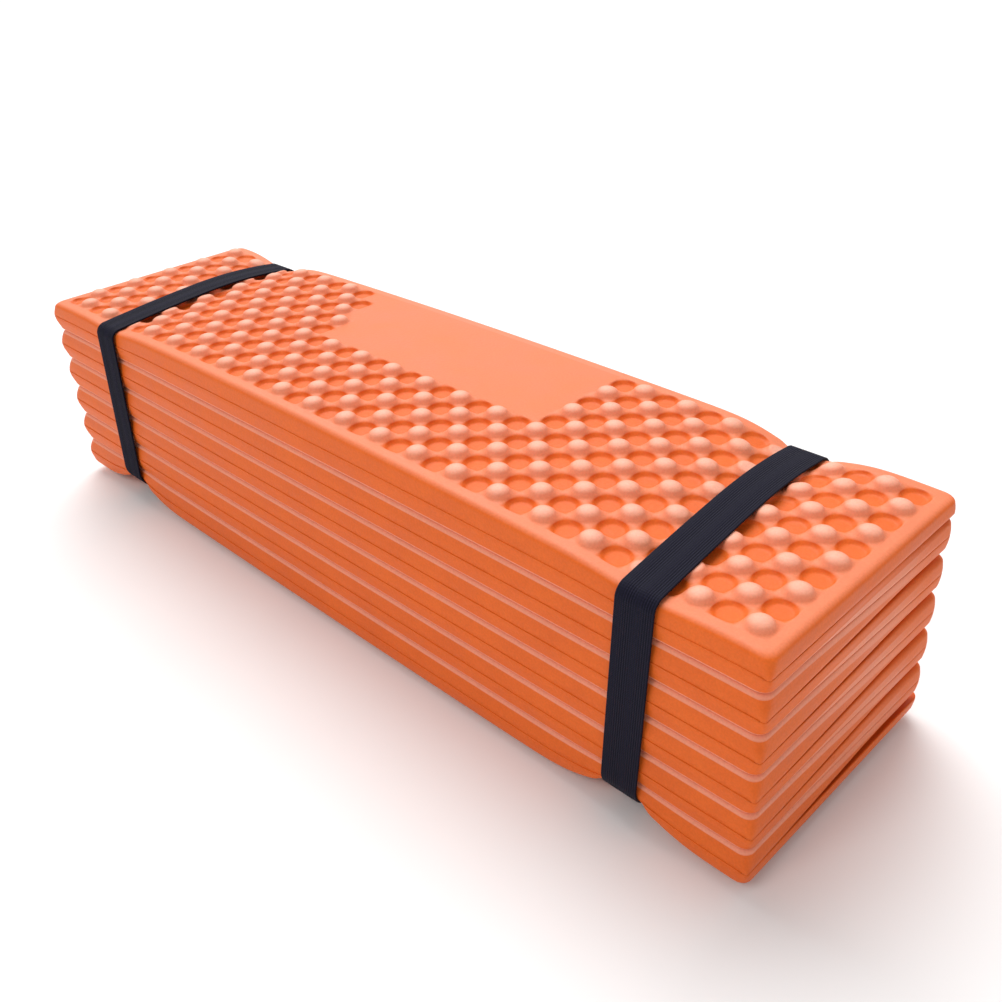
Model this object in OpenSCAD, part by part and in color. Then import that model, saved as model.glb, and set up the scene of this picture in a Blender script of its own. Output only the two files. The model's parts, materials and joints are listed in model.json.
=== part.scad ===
// Folding egg-crate sleeping pad, folded into a stack of panels and held by two elastic straps.
// X runs along the folds, Y across a panel and Z up through the stack.
// The origin is under the middle of the stack, on the surface that it rests on.

/* [Pad] */
// Length of the pad along its folds
pad_length = 570; // [300:1:900]
// Width of one panel, from fold line to fold line
panel_width = 155; // [110:1:220]
// Thickness that one panel adds to the folded stack
panel_pitch = 10.7; // [9.5:0.1:20]
// Gap between the faces of neighbouring panels
panel_gap = 0.3; // [0.2:0.05:0.8]
// How far the domes stand above a panel's face
dome_height = 3.8; // [3.2:0.1:6]

/* [Panel edges] */
// Height of the sharp rim where the foam was cut
rim_height = 1.5; // [1:0.1:2]
// How far an edge leans in from the rim to the rounded side
edge_lean = 3.5; // [1:0.5:6]
// Radius of the rounded side of an edge
edge_radius = 7; // [3:0.5:7]
// Distance from the rim to the field of domes
field_border = 9; // [8:0.5:20]

/* [Folds] */
// Radius of the pressed foam bead along a fold line
bead_radius = 0.9; // [0.6:0.1:1.2]
// Distance from a fold's bead to the panel that swings on it
bead_clearance = 0.3; // [0.2:0.05:0.5]
// How far a bead stops short of each end of the pad
bead_end = 4; // [2:0.5:10]

/* [Straps] */
// Width of an elastic strap
strap_width = 20; // [20:1:40]
// Thickness of an elastic strap
strap_thickness = 1.4; // [1:0.1:1.6]
// Distance from the middle of the pad to the middle of a strap
strap_offset = 217; // [100:1:225]
// Gap between a strap and the foam
strap_gap = 0.3; // [0.2:0.05:0.4]
// Inside radius of a strap's corners
strap_corner = 6; // [3:0.5:7]
// Room beside a strap in its channel between the domes
channel_side = 2; // [1:0.5:5]
// Length of the overlap where a strap's ends are sewn together
lap_length = 40; // [20:1:80]

/* [Stitching] */
// Length of one bar of stitching across the strap
stitch_length = 15; // [8:1:20]
// Width of one bar of stitching
stitch_width = 1.6; // [0.8:0.1:3]
// How far the thread stands out of the strap
stitch_height = 0.4; // [0.2:0.1:0.5]
// Number of bars of stitching on an overlap
stitch_bars = 4; // [2:1:6]

/* [Hidden] */
$fn = 48;
panel_count = 12;
arc_steps = 6;
slab = panel_pitch - panel_gap;
stack_top = 2 * dome_height + panel_count * panel_pitch;
half_length = pad_length / 2;
half_width = panel_width / 2;
// A panel's edge stops this far from the fold line, which leaves room for the bead
edge_inset = bead_radius + bead_clearance;
half_cut = half_width - edge_inset;
field_length = pad_length - 2 * field_border;
field_width = panel_width - 2 * field_border;
field_height = dome_height + panel_gap / 2;
channel_width = strap_width + 2 * channel_side;
loop_half_width = half_width + bead_radius + strap_gap;
loop_bottom = dome_height + panel_gap / 2 - strap_gap;
loop_top = stack_top - loop_bottom;
stitch_step = lap_length / (stitch_bars + 1);

// Height of the fold plane above panel number n
function fold_z(n) = dome_height + n * panel_pitch;

// Folds with odd numbers are on the front edge, those with even numbers on the back edge
function fold_y(n) = n % 2 == 1 ? -half_width : half_width;

// One edge from the rim side, at height 0, to the rounded side; reach is where the rim stands
function rim_edge(reach) = let (centre = reach - edge_lean - edge_radius) concat(
    [[reach, 0], [reach, rim_height]],
    [for (i = [0 : arc_steps]) let (a = 90 * i / arc_steps)
        [centre + edge_radius * cos(a), slab - edge_radius + edge_radius * sin(a)]]
);

// The same edge turned over, with its rim on the rounded side of the other edges
function turned_edge(reach) = [for (p = rim_edge(reach)) [p[0], slab - p[1]]];

function mirrored(points) = [for (i = [len(points) - 1 : -1 : 0]) [-points[i][0], points[i][1]]];

function reversed(points) = [for (i = [len(points) - 1 : -1 : 0]) points[i]];

// The section across a panel: its front edge is cut on the rim side, and its back edge is a fold
// on the other side, unless the pad ends there
function cross_section(end_panel) = concat(
    end_panel ? rim_edge(half_cut) : reversed(turned_edge(half_cut)),
    mirrored(rim_edge(half_cut))
);

function long_section() = concat(rim_edge(half_length), mirrored(rim_edge(half_length)));

// Extrudes a section that is drawn in Y and Z along X
module along_x(length) {
    rotate([90, 0, 90])
        linear_extrude(height = length, center = true)
            children();
}

// A plain panel with its rim side at height 0
module slab_body(end_panel) {
    intersection() {
        along_x(pad_length + 1)
            polygon(cross_section(end_panel));
        rotate([90, 0, 0])
            linear_extrude(height = panel_width, center = true)
                polygon(long_section());
    }
}

// The space that the domes fill, with a channel for each strap
module dome_field() {
    difference() {
        translate([-field_length / 2, -field_width / 2, 0])
            cube([field_length, field_width, field_height]);
        for (side = [-1, 1])
            translate([side * strap_offset - channel_width / 2, -panel_width / 2, 0])
                cube([channel_width, panel_width, 2 * field_height]);
    }
}

// Panel number n; odd panels lie rim side up, even ones rim side down
module panel(n) {
    turned = n % 2 == 1;
    outer = n == 1 || n == panel_count;
    color([0.93, 0.42, 0.2])
        translate([0, 0, fold_z(turned ? n : n - 1) + (turned ? -1 : 1) * panel_gap / 2])
            mirror([0, 0, turned ? 1 : 0])
                union() {
                    slab_body(outer);
                    if (outer)
                        translate([0, 0, slab])
                            dome_field();
                }
}

// The thin web along fold number n: a bead on the fold line and a tongue on the lower panel
module fold_web(n) {
    length = pad_length - 2 * bead_end;
    tongue_y = n % 2 == 1 ? -half_width : half_width - edge_inset;
    color([0.88, 0.38, 0.18])
        translate([0, 0, fold_z(n)])
            union() {
                translate([0, fold_y(n), 0])
                    rotate([0, 90, 0])
                        cylinder(r = bead_radius, h = length, center = true);
                translate([-length / 2, tongue_y, -bead_radius])
                    cube([length, edge_inset, bead_radius - panel_gap / 2]);
            }
}

// A rectangle with round corners, drawn around its own middle
module rounded_rectangle(width, height, radius) {
    square([width - 2 * radius, height], center = true);
    square([width, height - 2 * radius], center = true);
    for (y = [-1, 1], z = [-1, 1])
        translate([y * (width / 2 - radius), z * (height / 2 - radius)])
            circle(r = radius);
}

// An elastic strap round the stack, with its ends lapped under the pad
module strap(side) {
    height = loop_top - loop_bottom;
    color([0.09, 0.09, 0.12])
        translate([side * strap_offset, 0, 0])
            union() {
                translate([0, 0, stack_top / 2])
                    along_x(strap_width)
                        difference() {
                            rounded_rectangle(
                                2 * (loop_half_width + strap_thickness),
                                height + 2 * strap_thickness,
                                strap_corner + strap_thickness
                            );
                            rounded_rectangle(2 * loop_half_width, height, strap_corner);
                        }
                translate([-strap_width / 2, -lap_length / 2, loop_bottom - 2 * strap_thickness])
                    cube([strap_width, lap_length, strap_thickness]);
            }
}

// Bars of thread across the lapped ends of a strap
module stitching(side) {
    color([0.2, 0.2, 0.24])
        for (i = [1 : stitch_bars])
            translate([
                side * strap_offset - stitch_length / 2,
                i * stitch_step - lap_length / 2 - stitch_width / 2,
                loop_bottom - 2 * strap_thickness - stitch_height
            ])
                cube([stitch_length, stitch_width, stitch_height]);
}

panel(1);  // panel_01
panel(2);  // panel_02
panel(3);  // panel_03
panel(4);  // panel_04
panel(5);  // panel_05
panel(6);  // panel_06
panel(7);  // panel_07
panel(8);  // panel_08
panel(9);  // panel_09
panel(10);  // panel_10
panel(11);  // panel_11
panel(12);  // panel_12
fold_web(1);  // fold_web_01
fold_web(2);  // fold_web_02
fold_web(3);  // fold_web_03
fold_web(4);  // fold_web_04
fold_web(5);  // fold_web_05
fold_web(6);  // fold_web_06
fold_web(7);  // fold_web_07
fold_web(8);  // fold_web_08
fold_web(9);  // fold_web_09
fold_web(10);  // fold_web_10
fold_web(11);  // fold_web_11
strap(-1);  // strap_left
stitching(-1);  // strap_left_stitching
strap(1);  // strap_right
stitching(1);  // strap_right_stitching
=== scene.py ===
import json
import math

import bpy
import numpy as np
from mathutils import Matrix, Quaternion, Vector


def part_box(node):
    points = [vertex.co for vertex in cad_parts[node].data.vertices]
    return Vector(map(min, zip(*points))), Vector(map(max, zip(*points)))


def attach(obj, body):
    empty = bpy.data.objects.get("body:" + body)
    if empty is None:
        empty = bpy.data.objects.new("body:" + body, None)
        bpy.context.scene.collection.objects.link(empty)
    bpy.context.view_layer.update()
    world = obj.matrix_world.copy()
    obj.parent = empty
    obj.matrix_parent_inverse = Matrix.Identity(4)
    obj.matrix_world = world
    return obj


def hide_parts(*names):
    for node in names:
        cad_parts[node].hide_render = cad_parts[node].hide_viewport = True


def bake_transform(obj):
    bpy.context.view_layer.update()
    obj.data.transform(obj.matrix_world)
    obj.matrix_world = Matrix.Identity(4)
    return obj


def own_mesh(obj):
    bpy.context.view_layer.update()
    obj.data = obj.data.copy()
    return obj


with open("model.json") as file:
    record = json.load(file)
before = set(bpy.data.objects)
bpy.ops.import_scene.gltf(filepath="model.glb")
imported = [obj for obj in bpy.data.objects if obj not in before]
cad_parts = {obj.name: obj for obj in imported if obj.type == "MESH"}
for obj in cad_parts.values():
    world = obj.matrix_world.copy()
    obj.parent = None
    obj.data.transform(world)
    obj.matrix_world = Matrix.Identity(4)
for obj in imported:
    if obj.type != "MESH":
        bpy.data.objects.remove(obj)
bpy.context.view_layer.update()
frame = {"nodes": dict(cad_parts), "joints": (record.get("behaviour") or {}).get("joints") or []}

MM = 0.001

# ---- Sizes of the pad, taken from the frame ---------------------------------------------------
JOINTS = {joint["name"]: joint for joint in frame["joints"]}
PANELS = sorted(name for name in frame["nodes"] if name.startswith("panel_"))
WEBS = sorted(name for name in frame["nodes"] if name.startswith("fold_web_"))
COUNT = len(PANELS)
FOLD_Y = JOINTS["fold_02"]["pos_m"][1]
PITCH = JOINTS["fold_02"]["pos_m"][2] - JOINTS["fold_01"]["pos_m"][2]
FIRST_FOLD = JOINTS["fold_01"]["pos_m"][2]
slab_low, slab_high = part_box("panel_02")
SLAB = slab_high[2] - slab_low[2]
HALF_LENGTH = slab_high[0]
# Where the foam of a panel ends beside its fold line
HALF_CUT = FOLD_Y - 0.1 * MM
MIDDLE = FIRST_FOLD + PITCH * (COUNT / 2 - 1)
HALF_STACK = PITCH * COUNT / 2
strap_low, strap_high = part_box("strap_right")
STRAP_X = (strap_low[0] + strap_high[0]) / 2
STRAP_WIDTH = strap_high[0] - strap_low[0]

# ---- The egg-crate pattern --------------------------------------------------------------------
COLUMNS = 40
ROWS = 10
END_BORDER = 8 * MM
CELL = 2 * (HALF_LENGTH - END_BORDER) / COLUMNS
FIELD_X = COLUMNS * CELL / 2
FIELD_Y = ROWS * CELL / 2
SIDE_BORDER = HALF_CUT - FIELD_Y
DOME_RADIUS = 6.3 * MM
DOME_TOP = 3.8 * MM
# A dome's foot goes this far under the land, which leaves a groove round it
DOME_GROOVE = 0.35 * MM
PIT_RADIUS = 6.9 * MM
PIT_DEPTH = 4.1 * MM
# The pits on top of the stack are shallower, as no domes push into them
OPEN_PIT_DEPTH = 2.2 * MM
# The higher the power, the squarer the section of a dome or a pit
DOME_POWER = 2.3
PIT_POWER = 8
# Subdivisions of a cell on a panel's domed side and on its rim side
FINE_ON_TOP = (12, 6)
FINE_INSIDE = (8, 8)
# How much of the spacing of a cell's rings follows a sine, which crowds them at its outside
RING_CROWDING = 0.45
# The smooth place on the top panel, counted in cells from its front right corner
PATCH_ROW = 5
PATCH_FIRST = 13
PATCH_LAST = 25
# Each row towards the back makes the smooth place longer by this many cells
PATCH_SLOPE = 0.6

# ---- How the panels lie on one another --------------------------------------------------------
# Pairs of panels with their rims together gape this much at the edge away from their hinge
GAPE = 3.4 * MM
# Neighbouring faces come this much closer than the solid panels do
SNUG = 0.12 * MM

# ---- How the straps shape the stack -----------------------------------------------------------
BULGE = 3.0 * MM
UNDERSIDE_BULGE = 0.5
PINCH_ABOVE = 8.5 * MM
PINCH_BELOW = 12.5 * MM
PINCH_IN_MIDDLE = 0.3
PINCH_REACH = 25 * MM
BULGE_POWER = 4
PINCH_POWER = 5
STRAP_BASE = STRAP_X - 0.5 * MM
# How far a strap slants from its middle to its ends on top of the stack
SLANT = {-1: -11 * MM, 1: -7.5 * MM}
STRAP_THICKNESS = 1.4 * MM
STRAP_SIDE = FOLD_Y + 1.1 * MM
# Radius of each corner of a strap, by the sign of Y and the sign of the height over the middle
CORNERS = {(-1, -1): 13 * MM, (1, -1): 13 * MM, (-1, 1): 5 * MM, (1, 1): 10 * MM}
# Share of its height that a dome keeps under the middle of a strap and under its ends
KEPT_ABOVE = 0.72
KEPT_BELOW = 0.6
KEPT_AT_EDGE = 0.3
# Gap between a strap and the domes that it presses, and between it and all other foam
DOME_TO_STRAP = 0.35 * MM
FOAM_TO_STRAP = 0.1 * MM
# How far from the middle of a strap it holds the foam in, in widths of a strap
HOLD_REACH = 0.66
HOLD_POWER = 6
# Foam that would sink under this height is flattened onto the ground
GROUND_SOFTNESS = 1.2 * MM

# ---- Straps and their stitching ---------------------------------------------------------------
STRAP_RIBS = 18
STEPS_IN_RIB = 6
RIB_DEPTH = 0.18 * MM
LAP_LENGTH = 40 * MM
LAP_STEPS = 21
STITCH_BARS = 4
STITCH_TURNS = 12
STITCH_WIDTH = 15 * MM
STITCH_DEPTH = 1.6 * MM
THREAD_RADIUS = 0.25 * MM
THREAD_SIDES = 6

# ---- Colours and shades -----------------------------------------------------------------------
FOAM_DEEP = (0.77, 0.124, 0.008, 1)
FOAM_BRIGHT = (0.84, 0.146, 0.012, 1)
# The pale pink of the painted highlight on dome tips and lips, mixed in by the foam's painted
# light
FOAM_PAINTED_HIGHLIGHT = (0.95, 0.44, 0.31, 1)
ELASTIC_DEEP = (0.004, 0.0038, 0.0105, 1)
ELASTIC_BRIGHT = (0.011, 0.010, 0.025, 1)
# Painted light of the foam: 0 is painted shade deep in a pit, 1 a painted highlight on the tip of
# a dome
LAND_PAINTED_LIGHT = 0.5
# The smooth patch gets a little painted shade, darker than the land
PATCH_PAINTED_SHADE = 0.46
# The sides of the panels get painted shade
SIDE_PAINTED_SHADE = 0.4
# The soft lips at the front get a painted highlight
LIP_PAINTED_HIGHLIGHT = 0.82


def smoothstep(t):
    t = np.clip(t, 0, 1)
    return t * t * (3 - 2 * t)


# ---- The give of the foam ---------------------------------------------------------------------
def strap_centre(side, y, z):
    """Where the middle of a strap runs along X, at a place on its loop."""
    return side * STRAP_BASE + SLANT[side] * (y / FOLD_Y) * np.clip(z / (2 * MIDDLE), 0, 1)


def off_strap(x, y, z):
    """Distance along X from the middle of the nearer strap."""
    right = x - strap_centre(1, y, z)
    left = x - strap_centre(-1, y, z)
    return np.where(x > 0, right, left)


def kept_dome(y, upper):
    """Share of its height that a dome keeps under a strap, which presses hardest at the edges."""
    middle = KEPT_ABOVE if upper else KEPT_BELOW
    return middle - (middle - KEPT_AT_EDGE) * (y / FIELD_Y) ** 2


def settle(points):
    """Swells the stack between the straps and draws its edges in under them."""
    moved = points.copy()
    x, y, z = points.T
    level = np.clip((z - MIDDLE) / HALF_STACK, -1, 1)
    swell = BULGE * (1 - (x / STRAP_X) ** 2)
    swell = np.where(level < 0, swell * UNDERSIDE_BULGE, swell)
    across = y / FOLD_Y
    across = np.where(level < 0, np.abs(across), np.clip(across, 0, 1))
    pull = PINCH_IN_MIDDLE + (1 - PINCH_IN_MIDDLE) * across**2
    pull *= np.where(level < 0, PINCH_BELOW, PINCH_ABOVE)
    draw = pull * np.exp(-((off_strap(x, y, z) / PINCH_REACH) ** 2))
    shift = swell * np.abs(level) ** BULGE_POWER - draw * np.abs(level) ** PINCH_POWER
    moved[:, 2] += shift * np.sign(level)
    return moved


def strap_level(y, upper):
    """Height of a strap's inner face above or below the stack, at a place across it."""
    side = 1 if upper else -1
    z = MIDDLE + side * HALF_STACK
    border = settle(np.array([[strap_centre(1, y, z), y, z]]))[0, 2]
    return border + side * (kept_dome(y, upper) * DOME_TOP + DOME_TO_STRAP)


def hold_in(points):
    """Keeps the foam inside the straps, which dig into its corners and press its domes down."""
    x, y, z = points.T
    weight = np.exp(-((off_strap(x, y, z) / (HOLD_REACH * STRAP_WIDTH)) ** HOLD_POWER))
    held_y, held_z = y.copy(), z.copy()
    across = np.linspace(-STRAP_SIDE, STRAP_SIDE, 200)
    for upper in (False, True):
        limits = np.interp(y, across, [strap_level(a, upper) for a in across])
        if upper:
            held_z = np.minimum(held_z, limits - FOAM_TO_STRAP)
        else:
            held_z = np.maximum(held_z, limits + FOAM_TO_STRAP)
    for (y_sign, z_sign), radius in CORNERS.items():
        middle_y = y_sign * (STRAP_SIDE - radius)
        middle_z = strap_level(middle_y, z_sign > 0) - z_sign * radius
        dy, dz = held_y - middle_y, held_z - middle_z
        in_corner = (dy * y_sign > 0) & (dz * z_sign > 0)
        inside = (radius - FOAM_TO_STRAP) / np.maximum(np.hypot(dy, dz), 1e-9)
        share = np.where(in_corner, np.minimum(inside, 1), 1)
        held_y = middle_y + dy * share
        held_z = middle_z + dz * share
    points[:, 1] = y + (held_y - y) * weight
    points[:, 2] = z + (held_z - z) * weight
    return points


def rest_on_ground(points):
    """Flattens what would hang lower than the ground that the stack lies on."""
    soft = GROUND_SOFTNESS
    z = points[:, 2]
    points[:, 2] = np.where(z < soft, soft * np.exp(np.minimum(z / soft - 1, 0)), z)
    return points


# ---- Meshes -----------------------------------------------------------------------------------
def plain_mesh(name, points, faces, material):
    mesh = bpy.data.meshes.new(name)
    mesh.from_pydata(points.tolist(), [], faces)
    mesh.validate()
    mesh.polygons.foreach_set("use_smooth", [True] * len(mesh.polygons))
    mesh.materials.append(material)
    piece = bpy.data.objects.new(name, mesh)
    bpy.context.scene.collection.objects.link(piece)
    return piece


def point_attribute(piece, name, values):
    layer = piece.data.attributes.new(name, "FLOAT", "POINT")
    layer.data.foreach_set("value", np.asarray(values, np.float32))


# ---- Materials --------------------------------------------------------------------------------
class Nodes:
    """A short way to build a node material."""

    def __init__(self, name):
        self.material = bpy.data.materials.new(name)
        self.material.use_nodes = True
        self.tree = self.material.node_tree
        self.shader = self.tree.nodes["Principled BSDF"]

    def add(self, kind, **settings):
        node = self.tree.nodes.new(kind)
        for key, value in settings.items():
            if key in node.inputs:
                node.inputs[key].default_value = value
            else:
                setattr(node, key, value)
        return node

    def link(self, source, target):
        self.tree.links.new(source, target)

    def mix_colour(self, factor, first, second, blend="MIX"):
        node = self.add("ShaderNodeMix", data_type="RGBA", blend_type=blend)
        for socket, value in ((0, factor), (6, first), (7, second)):
            if isinstance(value, bpy.types.NodeSocket):
                self.link(value, node.inputs[socket])
            else:
                node.inputs[socket].default_value = value
        return node.outputs[2]

    def ramp(self, value, stops):
        node = self.add("ShaderNodeValToRGB")
        elements = node.color_ramp.elements
        while len(elements) < len(stops):
            elements.new(0.5)
        for element, (place, colour) in zip(elements, stops):
            element.position = place
            element.color = colour
        self.link(value, node.inputs["Fac"])
        return node.outputs["Color"]

    def bump(self, height, distance, strength=1.0, normal=None):
        node = self.add("ShaderNodeBump", Distance=distance, Strength=strength)
        self.link(height, node.inputs["Height"])
        if normal is not None:
            self.link(normal, node.inputs["Normal"])
        return node.outputs["Normal"]


def grey(value):
    return (value, value, value, 1)


def foam_material():
    """Closed-cell foam with a moulded skin: fine cells, soft mottling, painted shade in the pits
    and on the sides, painted highlights on dome tips and lips.
    """
    m = Nodes("foam")
    place = m.add("ShaderNodeTexCoord").outputs["Object"]
    cells = m.add("ShaderNodeTexNoise", Scale=950, Detail=3)
    mottle = m.add("ShaderNodeTexNoise", Scale=38, Detail=4, Roughness=0.6)
    specks = m.add("ShaderNodeTexVoronoi", Scale=520)
    for node in (cells, mottle, specks):
        m.link(place, node.inputs["Vector"])
    body = m.ramp(mottle.outputs["Fac"], [(0.3, FOAM_DEEP), (0.7, FOAM_BRIGHT)])
    relief = m.add("ShaderNodeAttribute", attribute_name="relief")
    # painted light from the relief attribute: painted shade in pits and on sides, painted
    # highlight on dome tips and lips
    tips = m.ramp(relief.outputs["Fac"], [
        (0.42, grey(0.02)),
        (PATCH_PAINTED_SHADE, grey(0.2)),
        (LAND_PAINTED_LIGHT, grey(0.32)),
        (0.75, grey(0.5)),
        (1.0, grey(1)),
    ])
    colour = m.mix_colour(tips, body, FOAM_PAINTED_HIGHLIGHT)
    grain = m.ramp(cells.outputs["Fac"], [(0.35, grey(0.92)), (0.65, grey(1.0))])
    colour = m.mix_colour(1.0, colour, grain, "MULTIPLY")
    m.link(colour, m.shader.inputs["Base Color"])
    rough = m.ramp(mottle.outputs["Fac"], [(0.3, grey(0.42)), (0.7, grey(0.54))])
    m.link(rough, m.shader.inputs["Roughness"])
    m.shader.inputs["Specular IOR Level"].default_value = 0.2
    m.shader.inputs["Subsurface Weight"].default_value = 0.08
    m.shader.inputs["Subsurface Radius"].default_value = (0.003, 0.001, 0.0005)
    m.shader.inputs["Subsurface Scale"].default_value = 1.0
    skin = m.bump(cells.outputs["Fac"], 0.12 * MM, 0.6)
    pores = m.bump(specks.outputs["Distance"], 0.15 * MM, 0.35, skin)
    m.link(pores, m.shader.inputs["Normal"])
    return m.material


def elastic_material():
    """Black woven elastic: rubber ribs along it, crossed by fine weft threads."""
    m = Nodes("elastic")
    across = m.add("ShaderNodeAttribute", attribute_name="across").outputs["Fac"]
    along = m.add("ShaderNodeAttribute", attribute_name="along").outputs["Fac"]
    place = m.add("ShaderNodeCombineXYZ")
    m.link(along, place.inputs["X"])
    m.link(across, place.inputs["Y"])
    weft = m.add("ShaderNodeTexWave", wave_type="BANDS", bands_direction="X", Scale=330)
    ribs = m.add("ShaderNodeTexWave", wave_type="BANDS", bands_direction="Y", Scale=250)
    fuzz = m.add("ShaderNodeTexNoise", Scale=1400, Detail=4)
    for node in (weft, ribs, fuzz):
        m.link(place.outputs["Vector"], node.inputs["Vector"])
    shade = m.ramp(ribs.outputs["Fac"], [(0.0, ELASTIC_DEEP), (1.0, ELASTIC_BRIGHT)])
    wear = m.ramp(fuzz.outputs["Fac"], [(0.3, grey(0.75)), (0.75, grey(1.35))])
    m.link(m.mix_colour(1.0, shade, wear, "MULTIPLY"), m.shader.inputs["Base Color"])
    m.shader.inputs["Roughness"].default_value = 0.72
    m.shader.inputs["Specular IOR Level"].default_value = 0.12
    m.shader.inputs["Sheen Weight"].default_value = 0.03
    m.shader.inputs["Sheen Roughness"].default_value = 0.4
    threads = m.bump(weft.outputs["Fac"], 0.10 * MM, 0.7)
    ribbed = m.bump(ribs.outputs["Fac"], 0.12 * MM, 0.6, threads)
    fuzzy = m.bump(fuzz.outputs["Fac"], 0.06 * MM, 0.6, ribbed)
    m.link(fuzzy, m.shader.inputs["Normal"])
    return m.material


def thread_material():
    """Dark twisted polyester thread."""
    m = Nodes("thread")
    place = m.add("ShaderNodeTexCoord").outputs["Object"]
    twist = m.add("ShaderNodeTexWave", wave_type="BANDS", bands_direction="DIAGONAL", Scale=420)
    m.link(place, twist.inputs["Vector"])
    shade = m.ramp(twist.outputs["Fac"], [(0.0, grey(0.02)), (1.0, grey(0.07))])
    m.link(shade, m.shader.inputs["Base Color"])
    m.shader.inputs["Roughness"].default_value = 0.55
    m.link(m.bump(twist.outputs["Fac"], 0.08 * MM, 0.8), m.shader.inputs["Normal"])
    return m.material


def floor_material():
    """Pale matt ground with a faint unevenness."""
    m = Nodes("floor")
    place = m.add("ShaderNodeTexCoord").outputs["Object"]
    cloud = m.add("ShaderNodeTexNoise", Scale=6, Detail=2)
    m.link(place, cloud.inputs["Vector"])
    shade = m.ramp(cloud.outputs["Fac"], [(0.3, grey(0.91)), (0.7, grey(0.93))])
    m.link(shade, m.shader.inputs["Base Color"])
    m.shader.inputs["Roughness"].default_value = 0.8
    return m.material


# ---- Panels -----------------------------------------------------------------------------------
def edge_profile(lean, radius):
    """The edge of a panel from its rim side to its domed side, as (inset, height) pairs in metres.

    A shallow channel lies behind the thin rim at height 0. From the rim the edge rises, leans in
    by lean and rounds over to the domed side with the radius, both in millimetres.
    """
    top = SLAB / MM
    foot = 0.5
    rim = [(5.5, 1.7), (2.0, 1.5), (0.9, 0.3), (0.12, 0.05), (0, 0.4)]
    wall = [(lean * t**2, foot + (top - radius - foot) * t) for t in (0.35, 0.7)]
    rounding = [
        (lean + radius * (1 - math.cos(a)), top - radius + radius * math.sin(a))
        for a in np.radians(np.linspace(0, 90, 9))
    ]
    field_side = (END_BORDER / MM - 0.4, top)
    return np.array(rim + wall + rounding + [field_side]) * MM


OUTER_EDGE = edge_profile(0.5, 3.8)
INNER_EDGE = edge_profile(1.1, 2.6)
BACK_EDGE = edge_profile(0.4, 3.6)
EDGE_STEPS = len(OUTER_EDGE)
# The profile points, counted from the domed side, that carry the painted highlight of the lip
LIP = (3, 8)
# The points over which the rim of an outer face turns from the paler painted light of its top to
# the painted shade of its side
SHOULDER = (4, 8)


def grid_cells(fine, dome_parity):
    """Vertex grid of a domed field, with each cell's square rings turned into circles."""
    nx, ny = COLUMNS * fine, ROWS * fine
    a, b = np.meshgrid(np.arange(nx + 1), np.arange(ny + 1), indexing="ij")
    ix = np.minimum(a // fine, COLUMNS - 1)
    iy = np.minimum(b // fine, ROWS - 1)
    is_dome = (ix + iy) % 2 == dome_parity
    u = 2 * (a / fine - ix) - 1
    v = 2 * (b / fine - iy) - 1
    ring = np.maximum(np.abs(u), np.abs(v))
    inner = ring < 1 - 1e-6
    turn = math.pi / 2 * ring / (1 - 2 / fine)
    outermost = np.where(is_dome, DOME_RADIUS, PIT_RADIUS) - 0.1 * MM
    # rings lie closer together towards the steep foot of a dome and the rim of a pit
    even = turn * 2 / math.pi
    radius = outermost * (RING_CROWDING * np.sin(turn) + (1 - RING_CROWDING) * even)
    length = np.maximum(np.hypot(u, v), 1e-9)
    dx = np.where(inner, radius * u / length, u * CELL / 2)
    dy = np.where(inner, radius * v / length, v * CELL / 2)
    x = -FIELD_X + (ix + 0.5) * CELL + dx
    y = -FIELD_Y + (iy + 0.5) * CELL + dy
    on_edge = (a == 0) | (a == nx) | (b == 0) | (b == ny)
    return x, y, ix, iy, np.hypot(dx, dy), on_edge, inner, is_dome


def plain_patch(ix, iy):
    """The smooth place without domes at the back edge of the top panel."""
    column = COLUMNS - 1 - ix
    last = PATCH_LAST + PATCH_SLOPE * (iy - PATCH_ROW)
    return (iy >= PATCH_ROW) & (column >= PATCH_FIRST) & (column <= last)


def relief(cells, on_top):
    """Height of the domed surface over the land, and its painted light from 0 (painted shade in a
    pit) to 1 (painted highlight on a dome).
    """
    _, _, ix, iy, distance, on_edge, inner, is_dome = cells
    r = np.clip(distance / DOME_RADIUS, 0, 1)
    dome = (DOME_TOP + DOME_GROOVE) * np.sqrt(1 - r**DOME_POWER) - DOME_GROOVE
    p = np.clip(distance / PIT_RADIUS, 0, 1)
    pit = -(OPEN_PIT_DEPTH if on_top else PIT_DEPTH) * np.sqrt(1 - p**PIT_POWER)
    height = np.where(is_dome, dome, pit) * inner
    if on_top:
        height = np.where(plain_patch(ix, iy), 0, height)
    height = np.where(on_edge, 0, height)
    # painted shade deepens down into a pit, painted highlight grows up onto a dome
    shade = LAND_PAINTED_LIGHT * (1 + height / np.where(height > 0, DOME_TOP, PIT_DEPTH))
    if on_top:
        # the smooth patch gets a little painted shade
        shade = np.where(plain_patch(ix, iy), PATCH_PAINTED_SHADE, shade)
    return height, shade


def perimeter(nx, ny):
    """Grid indices round the field, anticlockwise from the front left corner."""
    front = [(a, 0) for a in range(nx)]
    right = [(nx, b) for b in range(ny)]
    back = [(a, ny) for a in range(nx, 0, -1)]
    left = [(0, b) for b in range(ny, 0, -1)]
    return front + right + back + left


def grid_loop(first, nx, ny):
    """Vertex numbers round a grid whose first vertex has the number first."""
    return [first + a * (ny + 1) + b for a, b in perimeter(nx, ny)]


def grid_faces(first, nx, ny, turned):
    """Quads of a grid whose first vertex has the number first."""
    index = first + np.arange((nx + 1) * (ny + 1)).reshape(nx + 1, ny + 1)
    corners = [index[:-1, :-1], index[1:, :-1], index[1:, 1:], index[:-1, 1:]]
    if turned:
        corners = [corners[0]] + corners[:0:-1]
    return np.stack(corners, -1).reshape(-1, 4).tolist()


def rim_level(y):
    """How far a panel's rim side stands off its fold plane, at a place across it."""
    return GAPE / 2 * np.clip((y + FOLD_Y) / (2 * FOLD_Y), 0, 1) - SNUG


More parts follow.
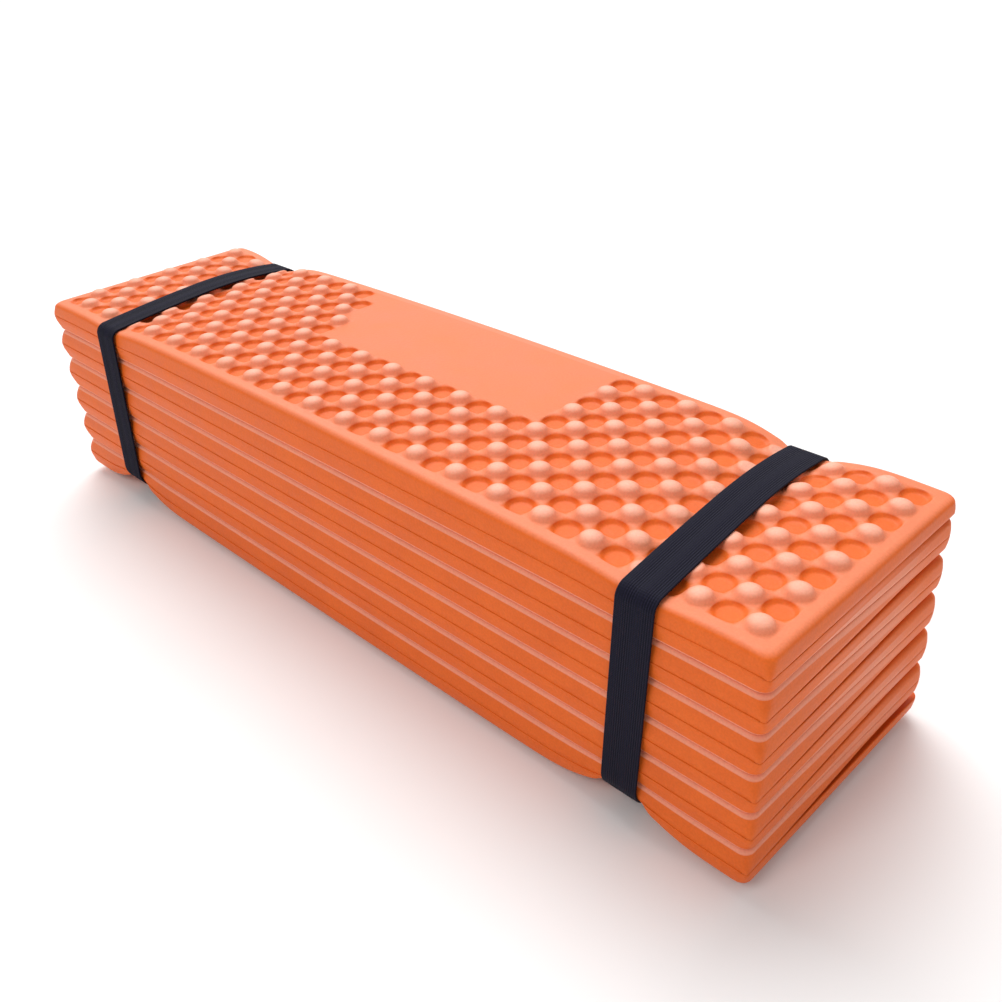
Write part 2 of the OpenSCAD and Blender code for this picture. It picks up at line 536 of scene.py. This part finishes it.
def round_corners(x, y, inset, height, back):
    """Rounds the corners of a loop round a panel: sharp at the front of the rim, else rounder."""
    sharp = (1 + 5 * height / SLAB) * MM
    radius = sharp + (6 * MM - sharp) * smoothstep(back)
    radius = np.minimum(radius, 2.4 * (END_BORDER - inset))
    cx = HALF_LENGTH - inset - radius
    cy = HALF_CUT - inset * SIDE_BORDER / END_BORDER - radius
    dx, dy = np.abs(x) - cx, np.abs(y) - cy
    in_corner = (dx > 0) & (dy > 0)
    size = np.where(in_corner, np.hypot(dx, dy), 1)
    x = np.where(in_corner, np.sign(x) * (cx + dx * radius / size), x)
    y = np.where(in_corner, np.sign(y) * (cy + dy * radius / size), y)
    return x, y


def edge_loops(nx, ny, outer, domed_level):
    """Points and painted light of each loop round a panel, from its domed side to its rim side."""
    ring = perimeter(nx, ny)
    field = [(-FIELD_X + 2 * FIELD_X * a / nx, -FIELD_Y + 2 * FIELD_Y * b / ny) for a, b in ring]
    field_x, field_y = np.array(field).T
    on_back = np.array([b == ny for a, b in ring])
    along_end = smoothstep((field_y + FIELD_Y) / (2 * FIELD_Y))
    # an inner panel has a fold on its domed side at the back, so its edge is turned over there
    back_fold = np.where(on_back, 1.0, along_end) * (0 if outer else 1)
    profile = OUTER_EDGE if outer else INNER_EDGE
    for count in range(1, EDGE_STEPS + 1):
        inset, height = profile[EDGE_STEPS - count]
        other_inset, other_height = BACK_EDGE[count - 1]
        other_height = SLAB - other_height
        side_inset = inset + (other_inset - inset) * back_fold
        rise = (height + (other_height - height) * back_fold) / SLAB
        x = field_x * (HALF_LENGTH - side_inset) / FIELD_X
        y = field_y * (HALF_CUT - side_inset * SIDE_BORDER / END_BORDER) / FIELD_Y
        x, y = round_corners(x, y, side_inset, height, field_y / FIELD_Y)
        z = rim_level(y) + (domed_level - rim_level(y)) * rise
        # an outer face's rim keeps the land's painted light on top and turns to the painted shade
        # of its side
        plain = np.interp(count, SHOULDER, (LAND_PAINTED_LIGHT, SIDE_PAINTED_SHADE)) if outer else SIDE_PAINTED_SHADE
        # the soft lip of a domed side gets a painted highlight at the front, fading out towards
        # the back fold
        on_lip = not outer and LIP[0] < count <= LIP[1]
        yield np.stack([x, y, z], -1), plain + (LIP_PAINTED_HIGHLIGHT - plain) * (1 - back_fold) * on_lip


def build_panel(number, material):
    node = PANELS[number - 1]
    turned = number % 2 == 1
    outer = number in (1, COUNT)
    on_top = number == COUNT
    fine_domed, fine_rim = FINE_ON_TOP if on_top else FINE_INSIDE
    parity = 0 if turned else 1
    low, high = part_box(node)
    rim_plane = high[2] if turned else low[2]
    direction = -1 if turned else 1
    domed_level = SLAB if outer else SLAB + SNUG

    # The domed side
    nx, ny = COLUMNS * fine_domed, ROWS * fine_domed
    cells = grid_cells(fine_domed, parity)
    raised, shade = relief(cells, on_top)
    points = [np.stack([*cells[:2], domed_level + raised], -1).reshape(-1, 3)]
    shades = [shade.reshape(-1)]
    faces = grid_faces(0, nx, ny, False)
    loops = [grid_loop(0, nx, ny)]
    start = (nx + 1) * (ny + 1)

    # The edge
    for loop_points, loop_shades in edge_loops(nx, ny, outer, domed_level):
        points.append(loop_points)
        shades.append(loop_shades)
        loops.append(list(range(start, start + len(loop_points))))
        start += len(loop_points)
    for upper, lower in zip(loops[:-1], loops[1:]):
        for k in range(len(upper)):
            n = (k + 1) % len(upper)
            faces.append([upper[k], lower[k], lower[n], upper[n]])

    # The rim side, whose grid can be coarser than the edge is
    mx, my = COLUMNS * fine_rim, ROWS * fine_rim
    cells = grid_cells(fine_rim, 1 - parity)
    raised, shade = relief(cells, False)
    points.append(np.stack([*cells[:2], rim_level(cells[1]) - raised], -1).reshape(-1, 3))
    shades.append(shade.reshape(-1))
    edge, rim = loops[-1], grid_loop(start, mx, my)
    share = len(edge) // len(rim)
    for k in range(len(rim)):
        n = (k + 1) % len(rim)
        between = [edge[(share * k + s) % len(edge)] for s in range(share, -1, -1)]
        faces.append([rim[k], rim[n]] + between)
    faces += grid_faces(start, mx, my, True)

    points = np.concatenate(points)
    points[:, 2] = rim_plane + direction * points[:, 2]
    if turned:
        faces = [face[::-1] for face in faces]
    points = rest_on_ground(hold_in(settle(points)))
    piece = plain_mesh("foam_" + node, points, faces, material)
    # the painted light and shade of the foam, for its material
    point_attribute(piece, "relief", np.concatenate(shades))
    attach(piece, node)
    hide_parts(node)


# ---- Hinges -----------------------------------------------------------------------------------
WEB_OUTSIDE = 0.4 * MM
WEB_INSIDE = 0.12 * MM
WEB_ROOT = -1.2 * MM
# How far a web stops short of the ends of the pad, on its front and on its back
WEB_END_FRONT = 2.5 * MM
WEB_END_BACK = 7 * MM
WEB_STEPS = 181


def web_section():
    """Section of a web as (outward, upward) pairs: a U that is open towards the stack."""
    arc = np.radians(np.linspace(90, -90, 9))
    section = [(WEB_ROOT, WEB_OUTSIDE)]
    section += [(WEB_OUTSIDE * math.cos(a), WEB_OUTSIDE * math.sin(a)) for a in arc]
    section += [(WEB_ROOT, -WEB_OUTSIDE), (WEB_ROOT, -WEB_INSIDE)]
    section += [(WEB_INSIDE * math.cos(a), WEB_INSIDE * math.sin(a)) for a in arc[::-1]]
    section += [(WEB_ROOT, WEB_INSIDE)]
    return np.array(section)


def tube_faces(first, size, count, closed=False):
    """Faces of a tube of count rings with size vertices each, with its ends capped or joined."""
    faces = []
    for i in range(count if closed else count - 1):
        near, far = first + i * size, first + (i + 1) % count * size
        for k in range(size):
            n = (k + 1) % size
            faces.append([near + k, near + n, far + n, far + k])
    if not closed:
        tail = first + (count - 1) * size
        faces.append([first + k for k in range(size)][::-1])
        faces.append([tail + k for k in range(size)])
    return faces


def build_web(number, material):
    """The pressed foam web along a fold: a thin band that wraps from one rim to the next."""
    node = WEBS[number - 1]
    joint = JOINTS[f"fold_{number:02d}"]
    _, fold_y, fold_z = joint["pos_m"]
    outward = -1 if fold_y < 0 else 1
    section = web_section()
    half = HALF_LENGTH - (WEB_END_FRONT if outward < 0 else WEB_END_BACK)
    points = []
    for x in np.linspace(-half, half, WEB_STEPS):
        # the web is pressed a little unevenly along its length
        wave = 1 + 0.12 * math.sin(x * 140 + number) * math.sin(x * 57)
        y = fold_y + outward * section[:, 0] * wave
        points.append(np.stack([np.full(len(section), x), y, fold_z + section[:, 1]], -1))
    points = hold_in(settle(np.concatenate(points)))
    faces = tube_faces(0, len(section), WEB_STEPS)
    if outward < 0:
        faces = [face[::-1] for face in faces]
    piece = plain_mesh("hinge_" + node, points, faces, material)
    # the web gets the painted shade of the panel sides
    point_attribute(piece, "relief", np.full(len(points), SIDE_PAINTED_SHADE))
    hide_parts(node)
    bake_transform(piece)


# ---- Straps -----------------------------------------------------------------------------------
def strap_path():
    """Points and outward directions round the strapped stack, in Y and Z, from the front below."""
    path = []

    def corner(y_sign, z_sign, first):
        radius = CORNERS[(y_sign, z_sign)]
        y = y_sign * (STRAP_SIDE - radius)
        z = strap_level(y, z_sign > 0) - z_sign * radius
        for a in np.radians(np.linspace(first, first + 90, 13)):
            outward = (math.cos(a), math.sin(a))
            path.append((y + radius * outward[0], z + radius * outward[1], *outward))

    def across(y_sign, z_sign):
        start = -y_sign * (STRAP_SIDE - CORNERS[(-y_sign, z_sign)])
        end = y_sign * (STRAP_SIDE - CORNERS[(y_sign, z_sign)])
        for y in np.linspace(start, end, 60)[1:-1]:
            path.append((y, strap_level(y, z_sign > 0), 0, z_sign))

    def upright(sign):
        radius = CORNERS[(sign, sign)]
        goal = strap_level(sign * (STRAP_SIDE - radius), sign > 0) - sign * radius
        for z in np.linspace(path[-1][1], goal, 42)[1:-1]:
            path.append((sign * STRAP_SIDE, z, sign, 0))

    across(1, -1)
    corner(1, -1, -90)
    upright(1)
    corner(1, 1, 0)
    across(-1, 1)
    corner(-1, 1, 90)
    upright(-1)
    corner(-1, -1, 180)
    return path


def band_section():
    """The section of the elastic: ribbed outside, flat inside, round edges."""
    half, round_edge = STRAP_WIDTH / 2, STRAP_THICKNESS / 2
    flat = half - round_edge
    across = np.linspace(-flat, flat, STRAP_RIBS * STEPS_IN_RIB + 1)
    phase = (across + half) / STRAP_WIDTH * STRAP_RIBS * 2 * math.pi
    crests = STRAP_THICKNESS - RIB_DEPTH / 2 * (1 + np.cos(phase))
    outside = list(zip(across, crests))
    edge = [
        (flat + round_edge * math.cos(a), round_edge + round_edge * math.sin(a))
        for a in np.radians(np.linspace(75, -75, 6))
    ]
    inside = [(a, 0) for a in np.linspace(flat, -flat, 9)]
    other_edge = [(-a, h) for a, h in edge[::-1]]
    return np.array(outside + edge + inside + other_edge)


def sweep(path, side):
    """Sweeps the section of the elastic along a path in Y and Z."""
    section = band_section()
    points, along = [], []
    run = 0.0
    for i, (y, z, ny, nz) in enumerate(path):
        if i:
            run += math.dist(path[i][:2], path[i - 1][:2])
        x = strap_centre(side, y, z) + section[:, 0]
        points.append(np.stack([x, y + ny * section[:, 1], z + nz * section[:, 1]], -1))
        along += [run] * len(section)
    across = section[:, 0].tolist() * len(path)
    return np.concatenate(points), along, across


def lie_flat(piece):
    """Gives a strap piece a mesh of its own."""
    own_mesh(piece)


def build_strap(side, material):
    """A closed loop round the stack, with a second layer of elastic where its ends lap."""
    body = "strap_right" if side > 0 else "strap_left"
    loop_path = strap_path()
    loop, loop_along, loop_across = sweep(loop_path, side)
    lap_y = np.linspace(-LAP_LENGTH / 2, LAP_LENGTH / 2, LAP_STEPS)
    lap_path = [(y, strap_level(y, False) - STRAP_THICKNESS, 0, -1) for y in lap_y]
    lap, lap_along, lap_across = sweep(lap_path, side)
    size = len(band_section())
    faces = tube_faces(0, size, len(loop_path), closed=True)
    faces += tube_faces(len(loop), size, LAP_STEPS)
    piece = plain_mesh("band_" + body, np.concatenate([loop, lap]), faces, material)
    point_attribute(piece, "along", loop_along + lap_along)
    point_attribute(piece, "across", loop_across + lap_across)
    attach(piece, body)
    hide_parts(body)
    lie_flat(piece)


def build_stitching(side, material):
    """Bars of zigzag stitches across the lapped ends of a strap."""
    body = "strap_right" if side > 0 else "strap_left"
    turns = np.radians(np.arange(THREAD_SIDES) * 360 / THREAD_SIDES)
    ring = [(THREAD_RADIUS * math.cos(a), THREAD_RADIUS * math.sin(a)) for a in turns]
    points, faces = [], []
    for bar in range(1, STITCH_BARS + 1):
        middle = bar * LAP_LENGTH / (STITCH_BARS + 1) - LAP_LENGTH / 2
        faces += tube_faces(len(points), THREAD_SIDES, STITCH_TURNS + 1)
        for turn in range(STITCH_TURNS + 1):
            y = middle + STITCH_DEPTH / 2 * (1 if turn % 2 else -1)
            z = strap_level(y, False) - 2 * STRAP_THICKNESS
            x = strap_centre(side, y, z) + STITCH_WIDTH * (turn / STITCH_TURNS - 0.5)
            points += [(x + a, y, z + b) for a, b in ring]
    piece = plain_mesh("stitches_" + body, np.array(points), faces, material)
    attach(piece, body)
    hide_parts(body + "_stitching")
    lie_flat(piece)


# ---- Floor, light and camera ------------------------------------------------------------------
FLOOR_SIZE = 12
FLOOR_LEVEL = -0.2 * MM
CAMERA_PLACE = (0.4314, -0.3528, 0.3842)
CAMERA_VIEW = (-0.6118, 0.5958, -0.5203)
CAMERA_ROLL = math.radians(-2.56)


def add_floor():
    bpy.ops.mesh.primitive_plane_add(size=FLOOR_SIZE, location=(0, 0, FLOOR_LEVEL))
    floor = bpy.context.object
    floor.name = "floor"
    floor.data.materials.append(floor_material())


def add_lamp(light, view, place=(0, 0, 0)):
    """Puts a light in the scene so that it shines along a direction."""
    lamp = bpy.data.objects.new(light.name, light)
    lamp.location = place
    lamp.rotation_euler = Vector(view).to_track_quat("-Z", "Y").to_euler()
    bpy.context.scene.collection.objects.link(lamp)


def add_softbox(name, place, size, power, colour=(1, 1, 1)):
    """A round soft light that is turned towards the middle of the stack."""
    light = bpy.data.lights.new(name, "AREA")
    light.shape = "DISK"
    light.size = size
    light.energy = power
    light.color = colour
    add_lamp(light, Vector((0, 0, MIDDLE)) - Vector(place), place)


def add_lights():
    add_softbox("back_softbox", (-1.15, 1.15, 1.05), size=1.5, power=4, colour=(1, 0.99, 0.98))
    add_softbox("front_softbox", (0.1, -1.7, 1.9), size=0.9, power=11)
    sky = bpy.data.lights.new("overhead", "SUN")
    sky.energy = 2.5
    sky.angle = math.radians(50)
    add_lamp(sky, (0.55, -0.4, -1))
    world = bpy.data.worlds.new("studio")
    world.use_nodes = True
    background = world.node_tree.nodes["Background"]
    background.inputs["Color"].default_value = (1, 1, 1, 1)
    background.inputs["Strength"].default_value = 0.5
    bpy.context.scene.world = world


def add_camera():
    lens = bpy.data.cameras.new("camera")
    lens.sensor_width = 36
    lens.lens = 38.5
    lens.clip_start = 0.01
    camera = bpy.data.objects.new("camera", lens)
    camera.location = CAMERA_PLACE
    turn = Vector(CAMERA_VIEW).to_track_quat("-Z", "Y")
    camera.rotation_mode = "QUATERNION"
    camera.rotation_quaternion = turn @ Quaternion((0, 0, 1), CAMERA_ROLL)
    bpy.context.scene.collection.objects.link(camera)
    bpy.context.scene.camera = camera
    bpy.context.scene.view_settings.view_transform = "Standard"


foam = foam_material()
elastic = elastic_material()
thread = thread_material()
for number in range(1, COUNT + 1):
    build_panel(number, foam)
for number in range(1, COUNT):
    build_web(number, foam)
for side in (-1, 1):
    build_strap(side, elastic)
    build_stitching(side, thread)
add_floor()
add_lights()
add_camera()
